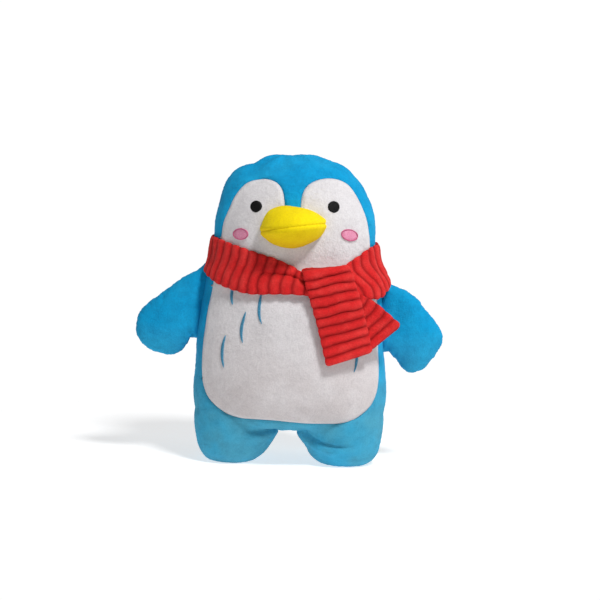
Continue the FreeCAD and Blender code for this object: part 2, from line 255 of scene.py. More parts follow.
def stuffed(points, faces, held, pressure, cap, frames=18, size=10.0, bending=0.5, shrink=0.0):
    """Blows a closed skin up with cloth simulation, as stuffing does. Held points stay where they are, and
    no other point moves further than the cap. It runs at a larger size, which cloth is more stable at."""
    obj = add_mesh("stuffing_run", points * size, faces)
    group = obj.vertex_groups.new(name="held")
    group.add([int(i) for i in np.flatnonzero(held)], 1.0, "REPLACE")
    cloth = obj.modifiers.new("Cloth", "CLOTH")
    settings = cloth.settings
    settings.quality = 6
    settings.mass = 0.2
    settings.tension_stiffness = settings.compression_stiffness = 12
    settings.shear_stiffness = 4
    settings.bending_stiffness = bending
    settings.shrink_min = shrink
    settings.vertex_group_mass = "held"
    settings.use_pressure = True
    settings.uniform_pressure_force = pressure
    settings.effector_weights.gravity = 0
    cloth.point_cache.frame_start = 1
    cloth.point_cache.frame_end = frames
    for number in range(1, frames + 1):
        bpy.context.scene.frame_set(number)
    moved, _ = baked(obj)
    bpy.context.scene.frame_set(1)
    step = moved / size - points
    far = np.linalg.norm(step, axis=1, keepdims=True)
    return points + step * np.minimum(1, cap / np.maximum(far, 1e-9))


def carried(points, coarse, coarse_move, neighbours=6):
    """A move known at coarse points, spread smoothly over other points."""
    tree = tree_of(coarse)
    result = np.zeros_like(points)
    for row, p in enumerate(points):
        found = tree.find_n(p, neighbours)
        weights = np.array([1 / (d + 0.6) ** 2 for _, _, d in found])
        result[row] = weights @ coarse_move[[i for _, i, _ in found]] / weights.sum()
    return result


# ---------------------------------------------------------------- materials

def linear(red, green, blue):
    """A colour given as it is seen on a screen, from 0 to 255."""
    return tuple(((c / 255 + 0.055) / 1.055) ** 2.4 if c > 10.3 else c / 255 / 12.92
                 for c in (red, green, blue)) + (1.0,)


class Nodes:
    """Short calls for building a material from nodes."""

    def __init__(self, name):
        self.material = bpy.data.materials.new(name)
        self.material.use_nodes = True
        self.tree = self.material.node_tree
        self.shader = self.tree.nodes["Principled BSDF"]
        self.place = self.add("ShaderNodeTexCoord").outputs["Object"]

    def add(self, kind, **values):
        node = self.tree.nodes.new(kind)
        for name, value in values.items():
            setattr(node, name, value)
        return node

    def link(self, output, socket):
        self.tree.links.new(output, socket)

    def stretched(self, scale):
        node = self.add("ShaderNodeMapping")
        node.inputs["Scale"].default_value = scale
        self.link(self.place, node.inputs["Vector"])
        return node.outputs["Vector"]

    def noise(self, size, detail=2.0, place=None, roughness=0.5):
        """Noise whose bumps are about this size in millimetres."""
        node = self.add("ShaderNodeTexNoise")
        node.inputs["Scale"].default_value = 1 / (size * MM)
        node.inputs["Detail"].default_value = detail
        node.inputs["Roughness"].default_value = roughness
        self.link(place or self.place, node.inputs["Vector"])
        return node.outputs["Fac"]

    def ramp(self, value, low, high, low_colour=0.0, high_colour=1.0):
        """Two numbers or two colours, by where a value lies between low and high."""
        if isinstance(low_colour, float):
            node = self.add("ShaderNodeMapRange")
            for name, number in (("From Min", low), ("From Max", high), ("To Min", low_colour),
                                 ("To Max", high_colour)):
                node.inputs[name].default_value = number
            self.link(value, node.inputs["Value"])
            return node.outputs["Result"]
        node = self.add("ShaderNodeValToRGB")
        first, last = node.color_ramp.elements
        first.position, first.color = low, low_colour
        last.position, last.color = high, high_colour
        self.link(value, node.inputs["Fac"])
        return node.outputs["Color"]

    def mix(self, share, first, second, blend="MIX"):
        node = self.add("ShaderNodeMix", data_type="RGBA", blend_type=blend)
        for socket, value in ((node.inputs[0], share), (node.inputs[6], first), (node.inputs[7], second)):
            if isinstance(value, (float, tuple)):
                socket.default_value = value
            else:
                self.link(value, socket)
        return node.outputs[2]

    def bump(self, heights):
        """Bumps added up: pairs of a height output and its depth in millimetres."""
        previous = None
        for height, depth in heights:
            node = self.add("ShaderNodeBump")
            node.inputs["Strength"].default_value = 1.0
            node.inputs["Distance"].default_value = depth * MM
            self.link(height, node.inputs["Height"])
            if previous:
                self.link(previous, node.inputs["Normal"])
            previous = node.outputs["Normal"]
        self.link(previous, self.shader.inputs["Normal"])

    def finish(self, colour, roughness=0.9, sheen=0.5, sheen_colour=(1, 1, 1, 1), specular=0.25):
        self.link(colour, self.shader.inputs["Base Color"])
        self.shader.inputs["Roughness"].default_value = roughness
        self.shader.inputs["Sheen Weight"].default_value = sheen
        self.shader.inputs["Sheen Roughness"].default_value = 0.45
        self.shader.inputs["Sheen Tint"].default_value = sheen_colour
        self.shader.inputs["Specular IOR Level"].default_value = specular
        return self.material


def plush(name, main, dark, light, low=None, mottle=1.0, sheen=0.3, low_levels=(0.125, 0.035)):
    """Short-pile plush: brushed patches, a fine uneven nap, and another colour lower down if one is given:
    painted shade on the white and the yellow plush, a paler, greyer blue on the blue.
    """
    nodes = Nodes(name)
    colour = main
    # the lower colour: painted shade on the white belly and the beak's lower lobe, a paler, greyer blue lower
    # down on the blue plush
    if low:
        height = nodes.add("ShaderNodeSeparateXYZ")
        nodes.link(nodes.place, height.inputs[0])
        fade = nodes.ramp(height.outputs["Z"], *low_levels)
        colour = nodes.mix(fade, main, low)
    patches = nodes.ramp(nodes.noise(26, 2.0, roughness=0.55), 0.42, 0.68, 0.0, 0.7 * mottle)
    colour = nodes.mix(patches, colour, light)
    strokes = nodes.noise(7.0, 3.0, nodes.stretched((0.7, 1.0, 1.0)), 0.6)
    colour = nodes.mix(nodes.ramp(strokes, 0.42, 0.70, 0.0, 0.5 * mottle), colour, dark, "MULTIPLY")
    pile = nodes.noise(1.1, 3.0, roughness=0.7)
    colour = nodes.mix(nodes.ramp(pile, 0.38, 0.62, 0.30, 0.0), colour, dark, "MULTIPLY")
    nodes.bump([(nodes.noise(3.4, 3.0), 0.42), (pile, 0.40), (nodes.noise(0.35, 2.0), 0.12)])
    return nodes.finish(colour, 0.92, sheen, light)


def corduroy(name):
    """Red corduroy: the ribs are in the mesh, and the attribute rib_height darkens the grooves with painted
    shade.
    """
    nodes = Nodes(name)
    height = nodes.add("ShaderNodeAttribute", attribute_name="rib_height").outputs["Fac"]
    worn = nodes.ramp(nodes.noise(9, 2.0, roughness=0.5), 0.42, 0.7)
    crest = nodes.mix(worn, linear(226, 36, 38), linear(236, 58, 56))
    # painted shade: a darker red in the grooves between the ribs
    colour = nodes.mix(nodes.ramp(height, 0.0, 0.92), linear(158, 6, 14), crest)
    pile = nodes.noise(0.7, 3.0, roughness=0.7)
    colour = nodes.mix(nodes.ramp(pile, 0.38, 0.64, 0.5, 0.0), colour, linear(190, 120, 120), "MULTIPLY")
    nodes.bump([(nodes.noise(2.0, 3.0), 0.3), (pile, 0.35), (nodes.noise(0.3, 2.0), 0.1)])
    return nodes.finish(colour, 0.9, 0.4, linear(255, 120, 110))


def satin(name, main, dark, stretch, specular=0.4):
    """Embroidery thread: fine strands along one direction with a soft gloss."""
    nodes = Nodes(name)
    strands = nodes.noise(0.5, 2.0, nodes.stretched(stretch))
    colour = nodes.mix(nodes.ramp(strands, 0.35, 0.65), dark, main)
    nodes.bump([(strands, 0.18), (nodes.noise(0.25, 1.0), 0.04)])
    return nodes.finish(colour, 0.5, 0.1, main, specular)


def pale_floor():
    nodes = Nodes("floor")
    colour = nodes.mix(nodes.noise(60, 2.0), linear(205, 205, 205), linear(212, 212, 212))
    nodes.shader.inputs["Emission Color"].default_value = (1, 1, 1, 1)
    nodes.shader.inputs["Emission Strength"].default_value = 0.62
    return nodes.finish(colour, 0.8, 0.0, specular=0.0)


BLUE = plush("blue_plush", linear(0, 159, 214), linear(178, 198, 208), linear(36, 178, 226),
             linear(76, 162, 190), mottle=0.7, sheen=0.15, low_levels=(0.098, 0.035))
# the white's lower colour is painted shade: greyer towards the bottom of the belly
WHITE = plush("white_plush", linear(227, 224, 226), linear(210, 206, 208), linear(240, 238, 240),
              linear(207, 200, 200), mottle=0.4, low_levels=(0.115, 0.045))
# the yellow's lower colour is painted shade on the beak's lower lobe
YELLOW = plush("yellow_fleece", linear(252, 226, 0), linear(230, 214, 150), linear(255, 236, 20),
               linear(234, 196, 0), mottle=0.3, sheen=0.1, low_levels=(0.171, 0.158))
RED = corduroy("red_corduroy")
BLACK = satin("black_thread", linear(12, 12, 13), linear(3, 3, 4), (0.35, 1.0, 1.6), 0.2)
PINK = satin("pink_thread", linear(246, 172, 202), linear(230, 136, 172), (0.35, 1.0, 1.6))
ROSE = satin("rose_thread", linear(220, 118, 156), linear(196, 88, 130), (1.0, 1.0, 1.0))
SLATE = satin("slate_thread", linear(78, 156, 190), linear(44, 112, 146), (0.35, 1.0, 1.6))


# ---------------------------------------------------------------- trunk

# The white front panel's seam, in X and Z, from the left of the face over both lobes and round the belly.
WHITE_SEAM = [
    (-51.8, 152), (-49.8, 169), (-46.4, 179), (-42.8, 188.3), (-37.8, 195.6), (-33.0, 199.8),
    (-25, 202.4), (-18, 202), (-12.3, 199.3), (-8.6, 194.2), (-7.1, 187.4), (-6.2, 179), (-4, 170),
    (2.5, 170), (4.1, 180), (4.6, 189), (6.3, 195), (10.3, 199.5), (17, 202.7), (25.4, 203.7),
    (33.8, 201.8), (39.8, 197.6), (44.2, 190.6), (48.5, 182), (51.6, 172), (53.6, 160), (56.5, 140),
    (60.3, 120), (62.5, 104), (63.4, 86), (63.4, 66), (61.6, 52.5), (56.6, 43.6), (49.6, 37.8),
    (41, 34), (31, 31.9), (15, 31.6), (3, 33), (-8, 34.3), (-19, 34.6), (-30.4, 34.4), (-40.2, 36.2),
    (-50, 41.2), (-57.8, 48.3), (-61.6, 57), (-62.7, 68), (-62.3, 82), (-60.6, 98), (-58.4, 116),
    (-55, 136),
]
# Folds in the blue plush where the legs meet the trunk: a line in X and Z, and its depth.
LEG_FOLDS = [
    ([(10.5, 27.5), (13, 23), (17, 20), (25, 16.8), (34, 15.4), (45, 16.0), (52, 17)], 2.7),
    ([(-6.5, 27), (-10, 25.2), (-16, 23.8), (-24, 24.6), (-32, 27.0)], 1.6),
]
# The sides' distances from the middle at heights Z, as the photo shows them, which differ left to right.
RIGHT_SIDE = [
    (0, 57.5), (1.2, 59.1), (6.9, 63.4), (12.6, 65.2), (18.4, 66.2), (30, 67.5), (53, 68), (80, 67.4),
    (100, 66), (130, 62), (141, 57.8), (150, 56.6), (162, 56), (168, 56.1), (174, 55.6), (180, 54.3),
    (185, 53.3), (191, 52.4), (197, 51), (202, 48.4), (208, 43.9),
]
LEFT_SIDE = [
    (0, 59.5), (5.5, 63.8), (11.5, 66.5), (17.3, 67.8), (23, 68.9), (35, 69.9), (46, 70.5), (58, 69.6),
    (80, 67.6), (100, 66.2), (130, 62.8), (141, 59), (150, 58), (166, 57.5), (172, 57.3), (178, 56.6),
    (183, 54.9), (189, 53), (194, 50.8), (200, 47.7), (205, 44.2), (210, 39.5),
]
# The top of the head: heights at X.
TOP = [
    (-48, 203.1), (-45.2, 206.3), (-42.5, 208.9), (-39.7, 210.8), (-36.9, 211.9), (-34.1, 212.7),
    (-31.3, 213.4), (-28.5, 214.4), (-25.7, 215.8), (-23, 217.4), (-20.2, 218.4), (-14.5, 219.2),
    (-8.9, 218.8), (-3.2, 218.5), (2.5, 218.9), (8.1, 219.4), (13.7, 218.8), (16.6, 217.8),
    (19.5, 216.8), (25.2, 215.6), (30.9, 214.3), (33.7, 213), (36.6, 211.7), (39.5, 209.6),
    (42.5, 206.9),
]


def trunk_form():
    """One even closed mesh of the trunk, head and legs. It starts from the CAD's shape, which simulation moves
    by 2.2 mm at most, and is fitted to the outline. Lumps, folds and seams are then added by formula."""
    points, faces, start = [], [], 0
    for name in ("body_front_panel", "body_back_panel", "white_front_panel", "body_stuffing"):
        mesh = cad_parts[name].data
        points.append(points_of(mesh))
        faces += [tuple(v + start for v in f) for f in faces_of(mesh)]
        start += len(points[-1])
    source = np.vstack(points)
    coarse, coarse_faces = remeshed(source, faces, COARSE_VOXEL)
    points, faces = remeshed(source, faces, FINE_VOXEL)
    points = smoothed(points, faces, 4)
    coarse = smoothed(coarse, coarse_faces, 2)

    seam = closed_curve(WHITE_SEAM, 2.0)
    near_seam = (line_distance(coarse[:, [0, 2]], seam, True)[0] < 3.5) & (coarse[:, 1] < MID_Y)
    held = near_seam | (np.abs(coarse[:, 1] - MID_Y) < 4) | (coarse[:, 2] < 3)
    held |= (coarse[:, 2] > 120) & (coarse[:, 2] < 158)
    blown = stuffed(coarse, coarse_faces, held, 5.0, 2.2)
    points = points + carried(points, coarse, blown - coarse)
    x, y, z = points.T.copy()
    # the scarf draws the neck in
    points[:, 1] -= 0.05 * bell(z - 142, 10) * (y - MID_Y)
    # the feet are rounder than they are wide, most of all between the legs
    low = 1 - smoothstep(z, 0, 8)
    centre = np.sign(x) * 41
    inner = smoothstep(centre * np.sign(x) - np.abs(x), 0, 14)
    points[:, 0] += inner * (np.sign(x) * 1.8 * low + np.where(x < 0, 2.4, 0) * bell(z - 16, 9))
    points[:, 1] = MID_Y + (points[:, 1] - MID_Y) * (1 - 0.08 * low)
    # the sides follow the photo
    for sign, table in ((-1, RIGHT_SIDE), (1, LEFT_SIDE)):
        ours = sign * points[:, 0] > 0
        levels = np.arange(0, 212, 3.0)
        widest = np.array([(sign * points[ours & (np.abs(z - level) < 1.8), 0]).max() for level in levels])
        wanted = np.interp(levels, *zip(*table))
        gain = np.interp(z, levels, softened(wanted - widest))
        gain *= (1 - smoothstep(z, 206, 212)) * smoothstep(np.abs(x), 12, 50)
        points[:, 0] += np.where(ours, sign * gain, 0)
    x, y, z = points.T.copy()
    columns = np.arange(-45, 45, 3.0)
    highest = np.array([z[np.abs(x - column) < 1.8].max() for column in columns])
    wanted = np.interp(columns, *zip(*TOP))
    gain = np.interp(x, columns, softened(wanted - highest))
    points[:, 2] += gain * smoothstep(z, 192, 210) * (1 - smoothstep(np.abs(x), 38, 46))
    form = points.copy()

    # what stuffing and sewing add to the smooth form: lumps, seams, folds and creases
    normals = normals_of(points, faces)
    x, y, z = points.T
    front = y < MID_Y
    flat = points[:, [0, 2]]
    out = 0.6 * waves(points, 55, 1) + 0.14 * waves(points, 22, 2)
    # side seam: a groove with small puckers
    side = np.abs(y - MID_Y)
    out -= 0.9 * bell(side, 1.2)
    out += 0.13 * waves(points * (1, 0.4, 1), 10, 3) * bell(side, 5)
    # white panel's seam
    from_seam, _, _ = line_distance(flat, seam, True)
    from_seam = np.where(front, from_seam, 99)
    out -= 0.85 * bell(from_seam, 1.2)
    out += 0.35 * bell(from_seam - 2.6, 1.5) * (inside(flat, seam) * 1.0)
    out += 0.16 * waves(points * (1, 0.4, 1), 8, 4) * bell(from_seam, 4.5)
    # folds at the legs
    for line, depth in LEG_FOLDS:
        line = np.array(line, float)
        distance, _, travel = line_distance(flat, line)
        length = np.linalg.norm(np.diff(line, axis=0), axis=1).sum()
        fade = (0.25 + 0.75 * smoothstep(travel, 0, 5)) * (1 - smoothstep(travel, 0.55 * length, length))
        fade = np.where(front, fade, 0)
        below = z < np.interp(x, *zip(*sorted(line.tolist())))
        out -= depth * bell(distance, 1.4) * fade
        out += np.where(below, 0.75, -0.1) * depth * bell(distance - 3.6, 3.0) * fade
    # the crown: gathered left of the middle, with creases that run from there
    crown = smoothstep(z, 204, 213)
    turn = np.arctan2(y - MID_Y, x + 6)
    creases = np.cos(9 * turn + 1.5 * np.sin(2 * turn))
    out += 0.5 * crown * creases * smoothstep(np.hypot(x + 6, y - MID_Y), 2, 12)
    out -= 0.8 * bell(x + 30, 3.0) * smoothstep(z, 207, 212)
    # the sole stays flat on the floor
    sole = smoothstep(z, 0.5, 5)
    points = points + normals * (out * sole)[:, None]
    return points, faces, seam, form


def with_pile(points, faces, height, seed):
    """Tufts of pile, in the mesh: small uneven bumps along the normals."""
    normals = normals_of(points, faces)
    random = np.random.default_rng(seed)
    bumps = 0.6 * waves(points, 3.0, seed, 60) + 0.4 * random.normal(size=len(points))
    return points + normals * (height * bumps)[:, None]


def panels(points, faces, seam, form):
    """The trunk's faces in three panels, with the points between two panels slid along the surface onto the
    seams. The seams are found on the smooth form, before lumps and pile."""
    centres = np.array([form[list(f)].mean(0) for f in faces])
    white = inside(centres[:, [0, 2]], seam) & (centres[:, 1] < MID_Y)
    kind = np.where(centres[:, 1] >= MID_Y, BACK, np.where(white, WHITE_FRONT, BLUE_FRONT))
    touches = np.zeros((len(points), 3), bool)
    for face, k in zip(faces, kind):
        touches[list(face), k] = True
    between_halves = touches[:, BACK] & (touches[:, BLUE_FRONT] | touches[:, WHITE_FRONT])
    points[between_halves, 1] = MID_Y
    round_white = touches[:, BLUE_FRONT] & touches[:, WHITE_FRONT]
    _, place, _ = line_distance(form[round_white][:, [0, 2]], seam, True)
    slide = place - form[round_white][:, [0, 2]]
    normal = normals_of(form, faces)[round_white]
    depth = -(normal[:, 0] * slide[:, 0] + normal[:, 2] * slide[:, 1]) / np.minimum(normal[:, 1], -0.15)
    points[round_white] += np.column_stack([slide[:, 0], np.clip(depth, -1.2, 1.2), slide[:, 1]])
    # the seam line itself is evened out, so that no corner of a face stands out of it
    both_sides = [edges_of([f for f, k in zip(faces, kind) if k == number])[0]
                  for number in (BLUE_FRONT, WHITE_FRONT)]
    seam_edges, shared = np.unique(np.vstack(both_sides), axis=0, return_counts=True)
    points = evened(points, seam_edges[shared == 2], 18)
    return points, kind


def panel(name, points, faces, chosen, material, node_slot, *nodes):
    """One sewn panel of fabric, with its thickness inwards."""
    used = np.unique([v for f, c in zip(faces, chosen) if c for v in f])
    index = {v: i for i, v in enumerate(used)}
    part = [tuple(index[v] for v in f) for f, c in zip(faces, chosen) if c]
    obj = add_mesh(name, points[used], part, material)
    thick = obj.modifiers.new("Solidify", "SOLIDIFY")
    thick.thickness = FABRIC * MM
    thick.offset = -1.0
    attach(obj, "body")
    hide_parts(*nodes)
    return obj


trunk_points, trunk_faces, white_seam, trunk_smooth = trunk_form()
trunk_tree = BVHTree.FromPolygons((trunk_points * MM).tolist(), trunk_faces)
trunk_points = with_pile(trunk_points, trunk_faces, 0.14, 11)
trunk_points, panel_kind = panels(trunk_points, trunk_faces, white_seam, trunk_smooth)
for piece, number, fabric, cloth_slot, nodes in (
        ("body_back", BACK, BLUE, "blue_plush", ("body_back_panel", "body_stuffing")),
        ("body_front", BLUE_FRONT, BLUE, "blue_plush", ("body_front_panel",)),
        ("white_front", WHITE_FRONT, WHITE, "white_plush", ("white_front_panel",))):
    panel(piece, trunk_points, trunk_faces, panel_kind == number, fabric, cloth_slot, *nodes)


def front_surface(x, z):
    """The place on the trunk's front at X and Z, and the surface's normal there."""
    hit, normal, _, _ = trunk_tree.ray_cast(Vector((x * MM, -0.2, z * MM)), Vector((0, 1, 0)))
    return np.array(hit) / MM, np.array(normal)


def trunk_radius(angle, z):
    """How far the trunk's surface is from its upright axis. Angle 0 is the front, and 90 degrees is +X."""
    direction = Vector((math.sin(angle), -math.cos(angle), 0))
    start = Vector((0, MID_Y * MM, z * MM)) + direction * 0.2
    hit, _, _, _ = trunk_tree.ray_cast(start, -direction)
    return (hit - Vector((0, MID_Y * MM, z * MM))).length / MM


# ---------------------------------------------------------------- flippers

# Outlines in X and Z. The first and last corners are the ends of the root, sewn into the side seam.
RIGHT_FLIPPER = [
    (-57, 142), (-65.5, 137.4), (-72.8, 134.2), (-86.3, 126.3), (-94.5, 120.8), (-101.8, 115.2),
    (-107.2, 109.4), (-110.2, 102.8), (-111.4, 96.3), (-110.9, 91), (-108.7, 85.3), (-105, 80.4),
    (-99.9, 76.8), (-94.2, 74.6), (-88.4, 73.4), (-82, 74.4), (-76.4, 77.6), (-71.5, 82.0),
    (-67, 85.6), (-58, 89),
]
LEFT_FLIPPER = [
    (58, 137), (69.5, 131.4), (81, 127.9), (86.3, 125.0), (91.5, 121.2), (96, 116.8), (100.4, 112),
    (104.6, 106.6), (107.8, 100.8), (109.4, 94.6), (109.2, 89), (107.2, 83.9), (105.2, 79.4),
    (102.5, 75.1), (99.5, 71.2), (95.6, 68.4), (88.5, 66.4), (82.3, 68.3), (76.9, 72.6), (72.7, 76.2),
    (68.6, 79.2), (59, 84),
]


def flipper(name, outline, seed, thickness=17.0):
    """Two panels joined round their edge, started with a set bulge, blown up a little more by simulation and
    then scaled back to the outline and the thickness."""
    spacing, row_gap = 2.3, 2.0
    dense = closed_curve(outline, spacing)
    low, high = dense.min(0), dense.max(0)
    grid = np.array([(a + 0.5 * spacing * (row % 2), b)
                     for row, b in enumerate(np.arange(low[1], high[1], row_gap))
                     for a in np.arange(low[0], high[0], spacing)])
    edge_distance = line_distance(grid, dense, True)[0]
    grid = grid[inside(grid, dense) & (edge_distance > 1.2)]
    flat = np.vstack([dense, grid])
    edges = [(i, (i + 1) % len(dense)) for i in range(len(dense))]
    flat_out, _, triangles, *_ = delaunay_2d_cdt([Vector(p) for p in flat], edges, [], 1, 1e-5)
    flat = np.array([tuple(p) for p in flat_out])
    count, rim = len(flat), len(dense)
    distance = line_distance(flat, dense, True)[0]
    root = np.abs(flat[:, 0]) < 65
    bulge = np.sqrt(np.clip(1 - (1 - np.minimum(distance / 15, 1)) ** 2, 0, 1))
    half = thickness / 2 * bulge * (0.5 + 0.5 * smoothstep(np.abs(flat[:, 0]), 62, 78))
    front = np.column_stack([flat[:, 0], MID_Y - half, flat[:, 1]])
    back = np.column_stack([flat[:, 0], MID_Y + half, flat[:, 1]])[rim:]
    points = np.vstack([front, back])
    back_index = np.concatenate([np.arange(rim), np.arange(rim, count) + count - rim])
    faces = []
    for t in triangles:
        a, b, c = t
        turn = np.cross(flat[b] - flat[a], flat[c] - flat[a])
        t = t if turn > 0 else t[::-1]
        faces.append(tuple(t))
        faces.append(tuple(int(back_index[v]) for v in reversed(t)))
    held = np.concatenate([root, root[rim:]])
    blown = stuffed(points, faces, held, 6.0, 5.0, frames=20, size=20.0, bending=0.4, shrink=-0.03)
    # fit the stuffed shape back to the outline
    free = smoothstep(np.abs(points[:, 0]), 64, 76)
    low, high = points.min(0), points.max(0)
    new_low, new_high = blown.min(0), blown.max(0)
    fitted = (blown - new_low) / (new_high - new_low) * (high - low) + low
    fitted[:, 1] = MID_Y + (blown[:, 1] - MID_Y) * thickness / (new_high[1] - new_low[1])
    points = blown + (fitted - blown) * free[:, None]
    rim_points = points[:rim].copy()
    points, faces = subdivided(points, faces, 1)
    # seam round the edge, with puckers, and soft lumps
    normals = normals_of(points, faces)
    fine_rim = np.vstack([rim_points + (np.roll(rim_points, -1, axis=0) - rim_points) * k / 4
                          for k in range(4)])
    tree = tree_of(fine_rim)
    from_rim = np.array([tree.find(p)[2] for p in points])
    out = 0.3 * waves(points, 24, seed) + 0.13 * waves(points, 9, seed + 1) * bell(from_rim, 5)
    out -= 0.5 * bell(from_rim, 1.1)
    out *= smoothstep(np.abs(points[:, 0]), 64, 70)
    points = points + normals * out[:, None]
    points = with_pile(points, faces, 0.12, seed + 2)
    obj = add_mesh(name, points, faces, BLUE)
    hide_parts(f"{name}_front", f"{name}_back", f"{name}_stuffing")
    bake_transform(obj)
    return obj


flipper("right_flipper", RIGHT_FLIPPER, 31)
flipper("left_flipper", LEFT_FLIPPER, 41)


# ---------------------------------------------------------------- beak

# How full the upper and lower lobes are from the right end to the left, next to an even dome.
UPPER_LOBE = [
    (-1, 1.9), (-0.88, 1.75), (-0.58, 1.3), (-0.1, 0.98), (0.44, 0.87), (0.75, 0.80), (1, 0.85),
]
LOWER_LOBE = [
    (-1, 0.6), (-0.88, 0.62), (-0.67, 0.81), (-0.36, 0.87), (0, 0.96), (0.54, 0.99), (0.77, 1.1),
    (1, 1.4),
]


def beak():
    """Two fleece lobes joined along a seam across the beak, which is lens-shaped from the front. They are
    domes by formula, and simulation moves them by 1.2 mm at most."""
    around, rings = 96, 22
    half_width = 22.8
    centre = np.array([-0.4, MID_Y - 34.5, 168.8])
    points, faces = [], []
    for sign in (1, -1):
        for ring in range(rings if sign > 0 else rings - 1):
            reach = math.sin((ring + 1) / rings * math.pi / 2)
            if sign < 0:
                reach = math.sin((rings - 1 - ring) / rings * math.pi / 2)
            rise = sign * 14.8 * (1 - reach**2.3) ** 0.72
            for step in range(around):
                angle = 2 * math.pi * step / around
                across = reach * math.cos(angle)
                fuller = np.interp(across, *zip(*(UPPER_LOBE if sign > 0 else LOWER_LOBE)))
                points.append(centre + (half_width * across, 25.2 * reach * math.sin(angle), rise * fuller))
    top, bottom = len(points), len(points) + 1
    points += [centre + (0, 0, 14.5), centre - (0, 0, 14.2)]
    total = 2 * rings - 1
    for ring in range(total - 1):
        for step in range(around):
            a, b = ring * around + step, ring * around + (step + 1) % around
            faces.append((a, a + around, b + around, b))
    for step in range(around):
        following = (step + 1) % around
        faces.append((step, following, top))
        faces.append(((total - 1) * around + following, (total - 1) * around + step, bottom))
    points = np.array(points)
    seam_level = np.abs(points[:, 2] - centre[2])
    held = (seam_level < 0.8) | (points[:, 1] > centre[1] + 6)
    points = stuffed(points, faces, held, 5.0, 1.2, frames=12, size=20.0)
    points, faces = subdivided(points, faces, 1)
    normals = normals_of(points, faces)
    level = np.abs(points[:, 2] - centre[2])
    out = -1.0 * bell(level, 0.8) + 0.3 * bell(level - 2.6, 1.4)
    out += 0.08 * waves(points, 7, 51) * bell(level, 4) + 0.2 * waves(points, 18, 52)
    points = points + normals * out[:, None]
    points = with_pile(points, faces, 0.07, 53)
    # the seam slopes up towards the left end and the tip, and the back is flat where it is sewn to the face
    points[:, 2] += 0.155 * points[:, 0] + 1.2 * smoothstep(centre[1] - points[:, 1], 0, 25)
    points[:, 1] = np.minimum(points[:, 1], -19.5 + 0.004 * points[:, 0] ** 2)
    obj = add_mesh("beak", points, faces, YELLOW)
    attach(obj, "body")
    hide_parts("beak_upper", "beak_lower", "beak_stuffing")


beak()


# ---------------------------------------------------------------- embroidery

THREAD_ROWS = 3  # rows of mesh in each thread


def stitched(outline_rows, height):
    """Satin stitch: threads laid side by side from one edge of a shape to the other. Each row of the shape is
    a pair of ends in X and Z. The threads are rounded ridges that dip into the fabric at both ends."""
    rows = np.array(outline_rows, float)
    count, across = len(rows), 14
    points = []
    for row, (first, last) in enumerate(rows):
        ridge = abs(math.sin(math.pi * row / THREAD_ROWS)) ** 0.8
        ends = min(1.0, (row + 0.5) / (0.08 * count + 1), (count - row - 0.5) / (0.08 * count + 1))
        for step in range(across + 1):
            t = step / across
            place, normal = front_surface(*(first + (last - first) * t))
            dome = (1 - abs(2 * t - 1) ** 3.5) ** 0.6
            rise = height * dome * (0.62 + 0.38 * ridge) * math.sqrt(ends) - 0.35 * (1 - dome)
            points.append(place + normal * rise)
    wide = across + 1
    starts = [row * wide + step for row in range(count - 1) for step in range(across)]
    return np.array(points), [(a, a + 1, a + 1 + wide, a + wide) for a in starts]


def outward(points, faces):
    """Faces turned so that they look towards the front, -Y."""
    total = sum(np.cross(points[f[1]] - points[f[0]], points[f[2]] - points[f[0]])[1] for f in faces)
    return faces if total < 0 else [tuple(reversed(f)) for f in faces]


def add_stitches(name, groups, material, node):
    """One piece from several stitched shapes, given a back so that it is closed."""
    points, faces, start = [], [], 0
    for shape_points, shape_faces in groups:
        shape_faces = outward(shape_points, shape_faces)
        points.append(shape_points)
        faces += [tuple(v + start for v in f) for f in shape_faces]
        start += len(shape_points)
    obj = add_mesh(name, np.vstack(points), faces, material)
    thick = obj.modifiers.new("Solidify", "SOLIDIFY")
    thick.thickness = 0.5 * MM
    thick.offset = -1.0
    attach(obj, "body")
    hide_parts(node)
    return obj


def oval_rows(centre, half_width, half_height, tilt, spacing=0.16):
    """Threads from left to right across an oval."""
    rows = []
    cos, sin = math.cos(tilt), math.sin(tilt)
    for v in np.arange(-half_height + spacing, half_height, spacing):
        u = half_width * math.sqrt(max(1 - (v / half_height) ** 2, 0.0))
        ends = [(centre[0] + a * cos - v * sin, centre[1] + a * sin + v * cos) for a in (-u, u)]
        rows.append(ends)
    return rows


def ring_rows(centre, half_width, half_height, width, tilt, spacing=0.22):
    """Threads across a narrow ring round an oval."""
    rows = []
    count = int(2 * math.pi * (half_width + half_height) / 2 / spacing)
    cos, sin = math.cos(tilt), math.sin(tilt)
    for step in range(count + 1):
        angle = 2 * math.pi * step / count
        ends = []
        for grow in (-width / 2, width / 2):
            u = (half_width + grow) * math.cos(angle)
            v = (half_height + grow) * math.sin(angle)
            ends.append((centre[0] + u * cos - v * sin, centre[1] + u * sin + v * cos))
        rows.append(ends)
    return rows


def feather_rows(line, width, spacing=0.25):
    """Threads across a curved line that tapers to both ends."""
    line = np.array(line, float)
    t = np.linspace(0, 1, 60)
    knots = np.linspace(0, 1, len(line))
    curve = np.column_stack([np.polyval(np.polyfit(knots, line[:, k], min(3, len(line) - 1)), t)
                             for k in range(2)])
    along = np.concatenate([[0], np.cumsum(np.linalg.norm(np.diff(curve, axis=0), axis=1))])
    at = np.arange(0, along[-1], spacing)
    middle = np.column_stack([np.interp(at, along, curve[:, k]) for k in range(2)])
    direction = np.gradient(middle, axis=0)
    direction /= np.linalg.norm(direction, axis=1, keepdims=True)
    across = np.column_stack([-direction[:, 1], direction[:, 0]])
    share = at / along[-1]
    half = width / 2 * (np.clip(1 - np.abs(2 * share - 1) ** 2.2, 0, 1) ** 0.8 + 0.12)
    return [(m - a * h, m + a * h) for m, a, h in zip(middle, across, half)]


